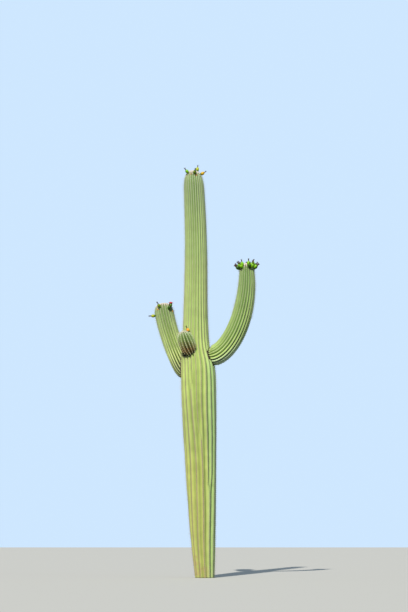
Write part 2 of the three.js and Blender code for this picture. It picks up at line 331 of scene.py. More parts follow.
def ribbed_stem_tree():
    """Grows a ribbed skin round an axis of points, one ring of vertices for each point.

    A point holds its distance along the stem, the crests' radius, the way along and how far
    it lies below the tip. Ribs fork by height and widen round the fork.
    """
    tree, given = new_geometry_tree(
        "Ribbed Stem",
        Vector=["Side"],
        Int=["Ribs", "Columns per Rib", "Fork Skip"],
        Float=["Start Angle", "First Fork", "Fork Step", "Widen From", "Widen To", "Groove To",
               "Groove Depth", "Areole Height"],
    )
    per_rib = given["Columns per Rib"]
    columns = given["Ribs"] * per_rib
    rings = place(tree, "GeometryNodeAttributeDomainSize", {0: given["Geometry"]}, "Point Count")
    size = {"Vertices X": columns + 1, "Vertices Y": rings}
    grid = place(tree, "GeometryNodeMeshGrid", size)
    index = place(tree, "GeometryNodeInputIndex")
    column = calculated("FLOOR", (index + 0.5) / rings)
    ring = index - column * rings

    def on_axis(term):
        inputs = {"Geometry": given["Geometry"], "Value": term, "Index": ring}
        return place(tree, "GeometryNodeSampleIndex", inputs, data_type=data_type(term))

    way = on_axis(stored(tree, "way"))
    below_tip = on_axis(stored(tree, "below_tip"))
    crest_radius = on_axis(stored(tree, "crest_radius"))
    along = on_axis(stored(tree, "along", "FLOAT_VECTOR"))
    middle = on_axis(place(tree, "GeometryNodeInputPosition"))

    rib = calculated("FLOOR", (column + 0.5) / per_rib)
    offset = column - rib * per_rib
    across = offset / per_rib
    turn_of_rib = calculated("MODULO", rib * given["Fork Skip"], given["Ribs"])
    fork = given["First Fork"] + given["Fork Step"] * turn_of_rib
    width = 1 + smooth_step(way, fork + given["Widen From"], fork + given["Widen To"])
    split = smooth_step(way, fork, fork + given["Groove To"])

    step = width / per_rib * is_less(column, columns - 0.5)
    inputs = {"Value": step, "Group ID": ring}
    before = place(tree, "GeometryNodeAccumulateField", inputs, "Trailing")
    total = before.other("Total")

    def crest_shape(share):
        return calculated("ABSOLUTE", sine(share * pi)) ** CREST_ROUNDNESS

    crest = crest_shape(across) * (1 - split) + crest_shape(across * 2) * split
    groove = given["Groove Depth"] * 2 * pi * crest_radius / total

    outward = unit(vector_calculated("CROSS_PRODUCT", given["Side"], along))

    def spoke(angle):
        return outward * cosine(angle) + given["Side"] * sine(angle)

    even_angle = given["Start Angle"] + before * 2 * pi / total
    unswayed = middle + spoke(even_angle) * crest_radius
    sway = noise(unswayed, scale=1.3) - 0.5
    swelling = noise(unswayed, scale=2.6) - 0.5
    angle = even_angle + sway * SWAY

    has_areoles, areole = areole_pattern(ring, rib, offset, per_rib, split)
    bump = given["Areole Height"] * has_areoles * crest ** AREOLE_SHARPNESS
    bump = bump * smooth_step(crest_radius, *AREOLES_FADE)

    radius = crest_radius * (1 + swelling * SWELLING) - groove * (1 - crest) + bump
    way_out = spoke(angle)
    facing_up = place(tree, "ShaderNodeSeparateXYZ", {0: way_out}, out="Z")
    inputs = {"Geometry": grid, "Position": middle + way_out * radius}
    skin = place(tree, "GeometryNodeSetPosition", inputs)
    skin = keep(skin, crest=crest, facing_up=facing_up, way=way, below_tip=below_tip,
                areole=areole, along=along)
    skin = place(tree, "GeometryNodeMergeByDistance", {"Geometry": skin, "Distance": SEAM_WIDTH})
    skin = keep(skin, out=place(tree, "GeometryNodeInputNormal"))
    skin = place(tree, "GeometryNodeSetShadeSmooth", {"Geometry": skin})
    return finish_tree(skin, given["Material"])


def areole_points(tree, given):
    """The spine cushions between two distances along a stem, as points, with their own axes."""
    way = stored(tree, "way")
    chosen = stored(tree, "areole") * (1 - is_less(way, given["From"])) * is_less(way, given["To"])
    inputs = {"Mesh": given["Geometry"], "Selection": chosen}
    points = place(tree, "GeometryNodeMeshToPoints", inputs)
    out = stored(tree, "out", "FLOAT_VECTOR")
    along = stored(tree, "along", "FLOAT_VECTOR")
    up = unit(along - out * vector_calculated("DOT_PRODUCT", out, along, out="Value"))
    return points, out, up


def upright_along(way):
    """The turn that brings a shape's +Z to a way."""
    return place(way.tree, "FunctionNodeAlignRotationToVector", {"Vector": way}, axis="Z")


def copies(points, shape, turned, size):
    """A copy of a shape on each point."""
    inputs = {"Points": points, "Instance": shape, "Rotation": turned, "Scale": size}
    return place(points.tree, "GeometryNodeInstanceOnPoints", inputs)


def spines_tree():
    """Puts a star of spines on each cushion: a few long ones that stand out, and the rest low."""
    tree, given = new_geometry_tree(
        "Spines",
        Int=["Count", "Long Ones", "Seed"],
        Float=["From", "To", "Length", "Long Length", "Thickness", "Bare Tip"],
    )
    points, out, up = areole_points(tree, given)
    bare = is_less(stored(tree, "below_tip"), given["Bare Tip"])
    points = place(tree, "GeometryNodeDeleteGeometry", {"Geometry": points, "Selection": bare})
    inputs = {"Geometry": points, "Amount": given["Count"]}
    many = place(tree, "GeometryNodeDuplicateElements", inputs, domain="POINT")
    number = many.other("Duplicate Index")
    is_long = is_less(number, given["Long Ones"])
    seed = given["Seed"]
    turn = number * 2 * pi / given["Count"] + chance(tree, -0.5, 0.5, seed)
    low_lean = chance(tree, *LOW_LEAN, seed + 1)
    lean = blend(low_lean, chance(tree, *LONG_LEAN, seed + 2), is_long)
    level = up * cosine(turn) + vector_calculated("CROSS_PRODUCT", out, up) * sine(turn)
    direction = out * cosine(lean) + level * sine(lean) - up * (is_long * LONG_DROOP)
    length = blend(given["Length"], given["Long Length"], is_long)
    length = length * chance(tree, *SPINE_LENGTHS, seed + 3)
    cone = {"Vertices": 3, "Radius Top": 0.0, "Radius Bottom": 0.5, "Depth": 1.0}
    spine = place(tree, "GeometryNodeMeshCone", cone)
    thickness = given["Thickness"]
    size = place(tree, "ShaderNodeCombineXYZ", {0: thickness, 1: thickness, 2: length})
    return finish_tree(copies(many, spine, upright_along(direction), size), given["Material"])


def wool_tree():
    """Puts a cushion of felted wool under each star of spines, larger towards the stem's tip."""
    tree, given = new_geometry_tree(
        "Wool",
        Int=["Seed"],
        Float=["From", "To", "Width", "Length", "Height", "Tip Growth", "Tip Reach"],
    )
    points, out, up = areole_points(tree, given)
    nearness = 1 - smooth_step(stored(tree, "below_tip"), 0.0, given["Tip Reach"])
    growth = 1 + nearness * given["Tip Growth"]
    growth = growth * chance(tree, *WOOL_SIZES, given["Seed"])
    sizes = {0: given["Width"] * growth, 1: given["Length"] * growth, 2: given["Height"] * growth}
    inputs = {"Primary Axis": out, "Secondary Axis": up}
    axes = {"primary_axis": "Z", "secondary_axis": "Y"}
    turned = place(tree, "FunctionNodeAxesToRotation", inputs, **axes)
    ball = place(tree, "GeometryNodeMeshIcoSphere", {"Radius": 0.5, "Subdivisions": 1})
    tuft = place(tree, "GeometryNodeSetShadeSmooth", {"Geometry": ball})
    size = place(tree, "ShaderNodeCombineXYZ", sizes)
    return finish_tree(copies(points, tuft, turned, size), given["Material"])


def standing_tree():
    """Stands a copy of one shape on each point, along the point's own direction and size."""
    tree, given = new_geometry_tree(
        "Standing", Object=["Shape"], Float=["Least Size", "Most Size"], Int=["Seed"])
    inputs = {"Object": given["Shape"], "As Instance": True}
    shape = place(tree, "GeometryNodeObjectInfo", inputs, "Geometry")
    stood = upright_along(stored(tree, "along", "FLOAT_VECTOR"))
    spin = chance(tree, 0.0, 2 * pi, given["Seed"])
    inputs = {"Axis": (0.0, 0.0, 1.0), "Angle": spin}
    spun = place(tree, "FunctionNodeAxisAngleToRotation", inputs)
    inputs = {"Rotation": stood, "Rotate By": spun}
    turned = place(tree, "FunctionNodeRotateRotation", inputs, rotation_space="LOCAL")
    points = place(tree, "GeometryNodeMeshToPoints", {"Mesh": given["Geometry"]})
    size = chance(tree, given["Least Size"], given["Most Size"], given["Seed"] + 1)
    return finish_tree(copies(points, shape, turned, size), given["Material"])


def new_mesh(name, verts, faces=()):
    mesh = bpy.data.meshes.new(name)
    mesh.from_pydata(verts, [], faces)
    return mesh


def keep_numbers(mesh, name, values):
    """Keeps a number at each vertex of a mesh."""
    mesh.attributes.new(name, "FLOAT", "POINT").data.foreach_set("value", values)


def keep_ways(mesh, ways):
    """Keeps at each vertex of a mesh the way along the stem or fruit that it is part of."""
    flat = [part for way in ways for part in way]
    mesh.attributes.new("along", "FLOAT_VECTOR", "POINT").data.foreach_set("vector", flat)


def new_object(name, data):
    made = bpy.data.objects.new(name, data)
    scene.collection.objects.link(made)
    return made


def grown(name, mesh, tree, values):
    """Runs a geometry tree on a mesh and keeps what it grows as a plain mesh object."""
    made = new_object(name, mesh)
    modifier = made.modifiers.new("grow", "NODES")
    modifier.node_group = tree
    for socket in tree.interface.items_tree:
        if socket.in_out == "INPUT" and socket.name in values:
            modifier[socket.identifier] = values[socket.name]
    depsgraph = bpy.context.evaluated_depsgraph_get()
    result = bpy.data.meshes.new_from_object(made.evaluated_get(depsgraph))
    made.modifiers.remove(modifier)
    made.data = result
    result.name = name
    return made


def turned_out(angle):
    """The level way out at an angle about +Z, and the way across it."""
    out = Vector((cos(angle), sin(angle), 0))
    return out, Vector((-out.y, out.x, 0))


def walk(points):
    """How far each point lies along the path through them all."""
    walked = [0.0]
    for before, after in zip(points, points[1:]):
        walked.append(walked[-1] + (after - before).length)
    return walked


# The trunk and the arms, each of which can be asked for its middle, frame and radius anywhere.
def through_stations(height, column):
    """A smooth curve through the trunk's stations, sloping at each as its two chords do."""
    columns = list(zip(*TRUNK_STATIONS))
    heights = columns[0]
    values = columns[column]
    last = len(heights) - 2
    i = next((k for k in range(last + 1) if height < heights[k + 1]), last)
    span = heights[i + 1] - heights[i]
    chords = [(values[k + 1] - values[k]) / (heights[k + 1] - heights[k]) for k in range(last + 1)]
    slope_in = (chords[max(i - 1, 0)] + chords[i]) / 2
    slope_out = (chords[i] + chords[min(i + 1, last)]) / 2
    t = (height - heights[i]) / span
    return (
        values[i] * (1 + 2 * t) * (1 - t) ** 2
        + slope_in * span * t * (1 - t) ** 2
        + values[i + 1] * t * t * (3 - 2 * t)
        + slope_out * span * t * t * (t - 1)
    )


def dome_share(share):
    """The outline of a blunt dome: 1 at its foot, where share is 0, and 0 at its top."""
    return (1 - clamp(share) ** DOME_BLUNTNESS) ** (1 / DOME_BLUNTNESS)


class Trunk:
    length = TRUNK_STATIONS[-1][0]
    dome_length = 0.29
    side = Vector((0, 1, 0))
    rib_plan = TRUNK_RIBS
    ribs = 2 * TRUNK_RIBS["Ribs"]
    start = TRUNK_RIBS["Start Angle"]

    def radius_at(self, height):
        dome_foot = self.length - self.dome_length
        share = dome_share((height - dome_foot) / self.dome_length)
        return through_stations(height, RADIUS) * share

    def frame_at(self, height):
        middle = Vector((through_stations(height, MIDDLE), 0, height))
        return middle, Vector((1, 0, 0)), Vector((0, 0, 1))


class Arm:
    start = 0.0
    divisions = 200

    def __init__(self, plan):
        self.plan = plan
        self.ribs = plan["ribs"]
        self.rib_plan = {**ARM_RIBS, "Ribs": self.ribs, "Areole Height": plan["areole_height"]}
        self.dome_length = plan["dome_length"]
        out, self.side = turned_out(radians(plan["azimuth"]))
        trunk_middle = through_stations(plan["axis"][0][1], MIDDLE)
        foot = Vector((trunk_middle, 0, 0)) + self.side * plan["aside"]
        self.points = [foot + out * d + Vector((0, 0, h)) for d, h in plan["axis"]]
        self.walked = walk([self.curve(i / self.divisions) for i in range(self.divisions + 1)])
        self.length = self.walked[-1]

    def curve(self, t):
        a, b, c, d = self.points
        s = 1 - t
        return a * s**3 + b * (3 * s * s * t) + c * (3 * s * t * t) + d * t**3

    def slope(self, t):
        a, b, c, d = self.points
        s = 1 - t
        return (b - a) * (s * s) + (c - b) * (2 * s * t) + (d - c) * (t * t)

    def radius_at(self, along):
        p = self.plan
        swell = clamp((along - p["neck_end"]) / p["swell_length"])
        dome_foot = self.length - self.dome_length
        taper = clamp(along / dome_foot) ** p["taper_power"]
        full = blend(p["full_radius"], p["tip_radius"], taper)
        grown_radius = blend(p["neck_radius"], full, sqrt(1 - (1 - swell) ** 2))
        return grown_radius * dome_share((along - dome_foot) / self.dome_length)

    def frame_at(self, along):
        walked = self.walked
        i = next((k for k in range(self.divisions) if along < walked[k + 1]), self.divisions - 1)
        part = (along - walked[i]) / (walked[i + 1] - walked[i])
        t = clamp((i + part) / self.divisions)
        tangent = self.slope(t).normalized()
        across = self.side.cross(tangent).normalized()
        return self.curve(t), across, tangent


def ring_ways(stem):
    """Where a stem's rings lie: evenly up its side, and evenly by the way over its dome."""
    dome_foot = stem.length - stem.dome_length
    count = round(dome_foot / RING_SPACING)
    ways = [0.0] + [dome_foot * i / count for i in range(count + 1)]
    samples = 2000
    shares = [sin(pi / 2 * i / samples) for i in range(samples + 1)]
    foot_radius = stem.radius_at(dome_foot)
    walked = walk([Vector((s * stem.dome_length, foot_radius * dome_share(s))) for s in shares])
    steps = round(walked[-1] / RING_SPACING)
    k = 0
    for step in range(1, steps):
        while walked[k] < walked[-1] * step / steps:
            k += 1
        ways.append(dome_foot + shares[k] * stem.dome_length)
    return ways + [stem.length]


def axis_mesh(name, stem):
    """A stem's axis as loose points, which hold what its skin is grown from."""
    ways = ring_ways(stem)
    frames = [stem.frame_at(way) for way in ways]
    mesh = new_mesh(name, [middle for middle, _, _ in frames])
    # The first ring and the last close the skin.
    radii = [0.0, *[stem.radius_at(way) for way in ways[1:-1]], 0.0]
    keep_numbers(mesh, "way", ways)
    keep_numbers(mesh, "below_tip", [stem.length - way for way in ways])
    keep_numbers(mesh, "crest_radius", radii)
    keep_ways(mesh, [tangent for _, _, tangent in frames])
    return mesh


def fruit_places(stem, places):
    """The root and direction of each fruit on a stem, with how ripe it is."""
    pitch = 2 * pi / stem.ribs
    found = []
    for turn, below, lean, ripeness in places:
        at = stem.length - below
        middle, across, tangent = stem.frame_at(at)
        level, _ = turned_out(radians(turn))
        wanted = atan2(level.dot(stem.side), level.dot(across))
        angle = stem.start + pitch * ((wanted - stem.start) // pitch + 0.5)
        out = across * cos(angle) + stem.side * sin(angle)
        tilt = radians(lean)
        way = tangent * cos(tilt) + out * sin(tilt)
        found.append((middle + out * stem.radius_at(at), way, ripeness))
    return found


def fruit_ring(count, first, below, lean, kinds, left_out=None):
    """An even ring of fruit from a first azimuth on, whose ripeness goes round through kinds."""
    return [
        (first + i * (360 / count), below, lean, kinds[i % len(kinds)])
        for i in range(count) if i != left_out
    ]


# The shapes that stand on the stems' tips.
def lathed(profile, sides, ripple=None):
    """The vertices and faces of a closed shape, turned round +Z through (height, radius) points
    that start and end at radius 0."""
    verts = [Vector((0, 0, profile[0][0]))]
    for height, radius in profile[1:-1]:
        for i in range(sides):
            angle = 2 * pi * i / sides
            r = radius * (1 + (ripple(angle, height) if ripple else 0))
            verts.append(Vector((r * cos(angle), r * sin(angle), height)))
    verts.append(Vector((0, 0, profile[-1][0])))
    faces = []
    rows = len(profile) - 2
    for i in range(sides):
        j = (i + 1) % sides
        faces.append((0, 1 + j, 1 + i))
        for row in range(rows - 1):
            low = 1 + row * sides
            high = low + sides
            faces.append((low + i, low + j, high + j, high + i))
        top = 1 + (rows - 1) * sides
        faces.append((top + i, top + j, len(verts) - 1))
    return verts, faces


def smooth_mesh(name, verts, faces):
    mesh = new_mesh(name, verts, faces)
    mesh.shade_smooth()
    return mesh


def fruit_shape(name, reach=1.0, swell=1.0):
    """An egg-shaped fruit on a narrow root, with low knobs in spirals where its scales sit.

    A reach below 1 gives its foot alone, which fits over a whole fruit when it swells a little.
    """
    steps = 22
    top_heaviness = 1.3
    pointedness = 0.62
    profile = []
    for i in range(round(steps * reach) + 1):
        share = i / steps
        bulge = sin(pi * share**top_heaviness) ** pointedness if 0 < share < 1 else 0.0
        height = share * (FRUIT_LENGTH + FRUIT_SUNK) - FRUIT_SUNK
        profile.append((height, FRUIT_RADIUS * swell * bulge))
    if reach < 1.0:
        profile.append((profile[-1][0], 0.0))

    def knobs(angle, height, spirals=5, twist=190, rise=0.05):
        return rise * max(0.0, sin(spirals * angle + height * twist)) ** 2

    return smooth_mesh(name, *lathed(profile, 20, knobs))


def strip(verts, faces, angle, outline, widths, thickness):
    """Adds a narrow closed strip with these widths, which rises at an angle about +Z. Outline
    gives its radius and height at each share of its length."""
    out, across = turned_out(angle)
    last = len(widths) - 1
    path = []
    for k in range(last + 1):
        radius, height = outline(k / last)
        path.append(out * radius + Vector((0, 0, height)))
    first = len(verts)
    for i, (point, width) in enumerate(zip(path, widths)):
        ahead = path[min(i + 1, last)] - path[max(i - 1, 0)]
        face = across.cross(ahead).normalized()
        for side, lift in ((-1, -1), (1, -1), (1, 1), (-1, 1)):
            verts.append(point + across * (side * width / 2) + face * (lift * thickness / 2))
    for i in range(last):
        low = first + 4 * i
        for k in range(4):
            n = (k + 1) % 4
            faces.append((low + k, low + 4 + k, low + 4 + n, low + n))
    faces.append((first, first + 1, first + 2, first + 3))
    end = first + 4 * last
    faces.append((end + 3, end + 2, end + 1, end))


def dried_flower_shape():
    """A withered flower: a shrivelled tube on the fruit's top, with curled shreds of petals."""
    draw = random.Random(7)
    tube = [(FLOWER_FOOT + rise, radius) for rise, radius in FLOWER_TUBE]

    def crumple(angle, height, folds=0.22, dents=0.12):
        return folds * sin(4 * angle + 900 * height) + dents * sin(7 * angle)

    verts, faces = lathed(tube, 12, crumple)
    for i in range(SHREDS):
        angle = 2 * pi * i / SHREDS + draw.uniform(-0.2, 0.2)
        spread = draw.uniform(0.2, 1.0)
        length = (FLOWER_END - SHRED_FOOT) * draw.uniform(0.55, 1.0)

        def outline(share):
            radius = 0.005 + 0.016 * spread * share**1.5
            rise = length * share * (1 - 0.35 * spread * share)
            return radius, SHRED_FOOT + rise

        strip(verts, faces, angle, outline, SHRED_WIDTHS, SHRED_THICKNESS)
    return new_mesh("dried_flower", verts, faces)


def opened_shape():
    """The split rind of a ripe fruit: four lobes that curl back like petals."""
    verts = []
    faces = []

    def outline(share):
        radius = 0.008 + 0.026 * share**1.2
        height = 0.036 + 0.03 * sin(2.2 * share)
        return radius, height

    for i in range(LOBES):
        angle = 2 * pi * i / LOBES + 0.3
        strip(verts, faces, angle, outline, LOBE_WIDTHS, LOBE_THICKNESS)
    return smooth_mesh("opened_rind", verts, faces)


def knob_shape(name, radius, height, middle):
    """A flattened ball, which reaches this height above and below its middle."""
    steps = 6
    turns = [pi * i / steps for i in range(steps + 1)]
    profile = [(middle - height * cos(turn), radius * sin(turn)) for turn in turns]
    return smooth_mesh(name, *lathed(profile, 10))


# Materials. What they share is in one node group.
def object_place(tree):
    return place(tree, "ShaderNodeTexCoord", out="Object")


def mixed(share, low, high, blend_type="MIX"):
    """A colour between low and high, or low with that share of its product with high."""
    inputs = {0: share, 6: low, 7: high}
    settings = {"data_type": "RGBA", "blend_type": blend_type}
    return place(tree_of(share, low), "ShaderNodeMix", inputs, out=2, **settings)


def finish_group():
    """Colour in uneven patches and small flecks, a fine relief of creases across the stem over a
    soft grain, and an uneven gloss."""
    numbers = ["Patch Scale", "Fleck Scale", "Strength", "Grain Scale", "Roughness"]
    outputs = {"Color": ["Color"], "Float": ["Height", "Roughness"]}
    inputs = {"Color": ["Color"], "Float": numbers}
    group, given = new_tree("Skin Finish", "ShaderNodeTree", inputs, outputs)
    where = object_place(group)
    patches = noise(where, given["Patch Scale"], detail=4.0)
    flecks = noise(where, given["Fleck Scale"], detail=3.0)
    light = 1 + (patches - 0.5) * given["Strength"] * 1.6 + (flecks - 0.5) * given["Strength"]
    grey = place(group, "ShaderNodeCombineColor", {0: light, 1: light, 2: light * 0.98})
    give_out("Color", mixed(1.0, given["Color"], grey, "MULTIPLY"))
    grain = noise(where, given["Grain Scale"], detail=3.0)
    squeezed = vector_calculated("MULTIPLY", where, (0.22, 0.22, 1.0))
    creases = smooth_step(noise(squeezed, scale=70.0, detail=3.0), low=0.35, high=0.65)
    give_out("Height", grain * 0.4 + creases * 0.5)
    give_out("Roughness", given["Roughness"] + (grain - 0.5) * 0.25)
    return group


def new_material(name):
    material = bpy.data.materials.new(name)
    material.use_nodes = True
    tree = material.node_tree
    return material, tree, tree.nodes["Principled BSDF"]


def feed(shader, name, term):
    term.tree.links.new(term.socket, shader.inputs[name])


def coat(tree, shader, colour, finish, bump):
    """Gives a material its mottled colour, its fine relief and its uneven gloss."""
    found = place(tree, "ShaderNodeGroup", {"Color": colour, **finish}, node_tree=FINISH)
    feed(shader, "Base Color", found)
    feed(shader, "Roughness", found.other("Roughness"))
    inputs = {"Height": found.other("Height"), **bump}
    feed(shader, "Normal", place(tree, "ShaderNodeBump", inputs))


def read(tree, name):
    """A number that the piece's mesh keeps at each vertex."""
    return place(tree, "ShaderNodeAttribute", out="Fac", attribute_name=name)


def by_height(height, stops):
    """A colour that changes with height, smoothly through (height, colour) stops."""
    lowest = stops[0][0]
    reach = stops[-1][0] - lowest
    found = place(height.tree, "ShaderNodeValToRGB", {0: (height - lowest) / reach})
    ramp = found.socket.node.color_ramp
    ramp.interpolation = "EASE"
    for at, _ in stops[1:-1]:
        ramp.elements.new((at - lowest) / reach)
    for element, (_, colour) in zip(ramp.elements, stops):
        element.color = linear(*colour)
    return found


def skin_material(name, flanks, valleys, lines, line_strength, crease=(0.002, 0.022),
                  cork_strength=0.3, cork_reach=0.1, painted_underside=0.0, shaded_wide_grooves=None,
                  painted_shade_side=None):
    """Waxy ribbed skin: a colour for its flanks, its valleys and the cushions' line on its crests.

    The crease's brown, partly a corky crease and partly painted shade where limbs meet, and on the
    trunk a painted shadow under the young arm, fades between two distances, and cork covers the
    foot up to cork_reach. The downward side can have painted light on its flanks and lines and
    painted shade in its grooves, the painted dark grooves can widen from the second of two heights
    to the first, and the side towards +X can turn bluer between two distances, which is painted
    shade.
    """
    material, tree, shader = new_material(name)
    crest = read(tree, "crest")
    height = place(tree, "ShaderNodeSeparateXYZ", {0: object_place(tree)}, out="Z")
    flank, valley, line = (by_height(height, stops) for stops in (flanks, valleys, lines))
    widening = 0.0
    # Painted light and shade on the downward side: paler flanks and lines, and near-black grooves.
    if painted_underside:
        share = (1 - smooth_step(read(tree, "facing_up"), *UNDERSIDE_FACES)) * painted_underside
        flank = mixed(share, flank, UNDERSIDE_PAINTED_LIGHT)
        valley = mixed(share, valley, UNDERSIDE_PAINTED_SHADE)
        line = mixed(share, line, UNDERSIDE_PAINTED_LIGHT)
        widening = share * UNDERSIDE_SHADE_WIDENING
    # Painted shade: the dark grooves widen low down on the arm, between these two heights.
    if shaded_wide_grooves:
        widening = widening + (1 - smooth_step(height, *shaded_wide_grooves)) * LOW_SHADE_WIDENING
    on_flank = smooth_step(crest, FLANK[0] + widening, FLANK[1] + widening)
    colour = mixed(on_flank, valley, flank)
    colour = mixed(smooth_step(crest, *CREST_LINE) * line_strength, colour, line)
    patches = noise(object_place(tree), scale=14.0, detail=5.0)
    worn = smooth_step(patches + (1 - smooth_step(height, 0.0, cork_reach)) * 0.3, *CORK_PATCHES)
    colour = mixed(worn * cork_strength, colour, CORK)
    # Painted shade: the side towards +X turns a bluer green, as shade under a blue sky does.
    if painted_shade_side:
        shade = smooth_step(height.other("X"), *painted_shade_side)
        colour = mixed(shade * PAINTED_SHADE_STRENGTH, colour, PAINTED_SHADE_GREEN)
    # Painted shade: brown near the crease where limbs meet, partly a real corky crease, and on the
    # trunk a painted shadow under the young arm.
    from_painted_shade = 1 - smooth_step(read(tree, "from_painted_shade"), *crease)
    finish = {"Patch Scale": 9.0, "Fleck Scale": 160.0, "Strength": 0.3, "Grain Scale": 500.0,
              "Roughness": 0.55}
    colour = mixed(from_painted_shade, colour, CORK_AND_SHADE_BROWN)
    coat(tree, shader, colour, finish, bump={"Strength": 0.35, "Distance": 0.0012})
    shader.inputs["Specular IOR Level"].default_value = 0.35
    return material


def plain_material(name, colour, roughness, unevenness=0.35):
    """A dry or waxy finish on small joined pieces: one base colour with uneven light and grain."""
    material, tree, shader = new_material(name)
    finish = {"Patch Scale": 40.0, "Fleck Scale": 220.0, "Strength": unevenness,
              "Grain Scale": 900.0, "Roughness": roughness}
    coat(tree, shader, linear(*colour), finish, bump={"Strength": 0.3, "Distance": 0.0006})
    return material


FINISH = finish_group()

# Where on the way from a valley, 0, to a crest, 1, the flank's colour and the crest's line come in,
# how far the downward side and the foot of an arm move the first, widening the painted shade in
# the grooves, and which skin faces down and gets painted light and shade.
FLANK = (0.05, 0.6)
CREST_LINE = (0.91, 0.98)
UNDERSIDE_SHADE_WIDENING = 0.3
LOW_SHADE_WIDENING = 0.55
UNDERSIDE_FACES = (-0.9, -0.3)
CORK_PATCHES = (0.68, 0.86)
PAINTED_SHADE_STRENGTH = 0.4

CORK = linear(176, 150, 108)
# Brown for the crease where limbs meet, partly cork and partly painted shade, and for the painted
# shadow under the young arm.
CORK_AND_SHADE_BROWN = linear(46, 34, 24)
# The bluer green of painted shade on the trunk's side towards +X.
PAINTED_SHADE_GREEN = linear(146, 200, 136)
# Painted light on the flanks and lines of a downward side, and painted shade in its grooves.
UNDERSIDE_PAINTED_LIGHT = linear(226, 250, 206)
UNDERSIDE_PAINTED_SHADE = linear(14, 26, 14)
TRUNK_SKIN = skin_material(
    "trunk skin",
    flanks=[(0.6, (178, 186, 104)), (1.3, (180, 190, 104)), (1.95, (168, 184, 104)),
            (2.6, (178, 197, 111)), (3.6, (169, 192, 113)), (4.4, (156, 180, 107)),
            (5.2, (133, 157, 94))],
    valleys=[(0.6, (160, 172, 96)), (1.95, (150, 170, 96)), (2.8, (150, 172, 100)),
             (3.6, (142, 168, 98)), (4.4, (112, 140, 76)), (5.2, (78, 108, 50))],
    lines=[(0.6, (168, 154, 116)), (2.8, (162, 158, 124)), (3.6, (172, 174, 138)),
           (4.4, (184, 194, 160)), (5.2, (202, 214, 190))],
    line_strength=0.8,
    # On the trunk this brown is the painted shadow under the young arm, fading out between these
    # distances.
    crease=(0.052, 0.074),
    cork_strength=0.5,
    cork_reach=0.6,
    # The trunk's side towards +X gets painted shade, rising between these two x positions.
    painted_shade_side=(-0.01, 0.09),
)
RIGHT_SKIN = skin_material(
    "right arm skin",
    # The lowest stops, round the elbow's downward side, are painted light on flanks and lines and
    # painted shade in valleys.
    flanks=[(2.7, (180, 206, 116)), (3.3, (146, 174, 96)), (3.95, (126, 156, 86))],
    valleys=[(2.7, (50, 74, 48)), (3.3, (92, 122, 74)), (3.95, (100, 130, 76))],
    lines=[(2.7, (178, 190, 140)), (3.3, (166, 178, 134)), (3.95, (166, 182, 144))],
    line_strength=0.7,
    painted_underside=0.9,
)
LEFT_SKIN = skin_material(
    "left arm skin",
    # The lowest stops, on the arm's downward foot, are painted light on flanks and lines and
    # painted shade in valleys.
    flanks=[(2.7, (190, 210, 124)), (2.88, (186, 206, 120)), (3.06, (156, 178, 102)),
            (3.55, (128, 152, 94))],
    valleys=[(2.7, (52, 66, 28)), (2.88, (72, 86, 34)), (3.06, (104, 126, 66)),
             (3.55, (116, 142, 88))],
    lines=[(2.7, (214, 222, 166)), (2.88, (206, 214, 156)), (3.06, (166, 178, 128)),
           (3.55, (166, 180, 144))],
    line_strength=0.6,
    painted_underside=0.5,
    # The left arm's dark grooves widen towards its foot: painted shade.
    shaded_wide_grooves=(2.7, 3.1),
)
YOUNG_SKIN = skin_material(
    "young skin",
    # Towards the bud's foot its skin turns brown and its valleys near black, which is painted shade
    # under the bud.
    flanks=[(2.92, (110, 92, 50)), (2.99, (116, 122, 66)), (3.06, (120, 146, 78))],
    valleys=[(2.92, (6, 4, 2)), (2.99, (26, 28, 14)), (3.06, (66, 88, 44))],
    lines=[(2.92, (222, 164, 100)), (2.99, (214, 200, 146)), (3.06, (186, 202, 146))],
    line_strength=0.8,
    # The bud's crease brown, partly cork and partly painted shade, darkens its foot where it meets
    # the trunk.
    crease=(0.014, 0.046),
    cork_strength=0.2,
)
SPINE_STRAW = plain_material("straw spines", (196, 180, 156), 0.6)
SPINE_GREY = plain_material("grey spines", (170, 156, 146), 0.7)
SPINE_PALE = plain_material("pale spines", (186, 188, 156), 0.6)
SPINE_YOUNG = plain_material("young spines", (200, 206, 166), 0.6)
SPINE_BROWN = plain_material("brown spines", (196, 160, 114), 0.6)
WOOL_GREY = plain_material("grey wool", (176, 164, 138), 0.95)
WOOL_PALE = plain_material("pale wool", (210, 198, 186), 0.95)
WOOL_YOUNG = plain_material("young wool", (214, 226, 190), 0.95)
FRUIT_SKINS = {
    ripeness: plain_material(ripeness + " fruit", colour, roughness, 0.3)
    for ripeness, colour, roughness in (
        # The dark fruit is partly darker fruit and partly painted shade among the fruit.
        ("green", (128, 192, 20), 0.42), ("dark", (54, 94, 18), 0.42),
        ("olive", (120, 148, 22), 0.45), ("yellow", (172, 184, 14), 0.42),
        ("golden", (210, 166, 8), 0.45), ("orange", (238, 164, 40), 0.45),
        ("opened", (92, 140, 30), 0.45),
    )
}
FRUIT_FOOT = plain_material("fruit foot", (70, 116, 22), 0.45, 0.3)
RED_FLESH = plain_material("red flesh", (214, 34, 40), 0.35, 0.3)
DRY_BROWN = plain_material("dry flower", (76, 34, 30), 0.85, 0.5)
SCAR_TAN = plain_material("fruit scar", (206, 140, 74), 0.8, 0.4)

STEM_TREE = ribbed_stem_tree()
SPINES_TREE = spines_tree()
WOOL_TREE = wool_tree()
STANDING_TREE = standing_tree()


def finished(piece, slot, *nodes):
    """Every piece rides on the plant's one body, and a skin replaces its nodes; the slot is not
    used.
    """
    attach(piece, "root")
    if nodes:
        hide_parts(*nodes)


def out_from_trunk(place_on_arm):
    x, y, z = place_on_arm
    return hypot(x - through_stations(z, MIDDLE), y) - trunk.radius_at(z)


# How far a point on the trunk is from the middle of the painted shadow under the young arm.
def out_from_painted_shadow(place_on_trunk):
    return (place_on_trunk - YOUNG_ARM_SHADOW_MIDDLE).length


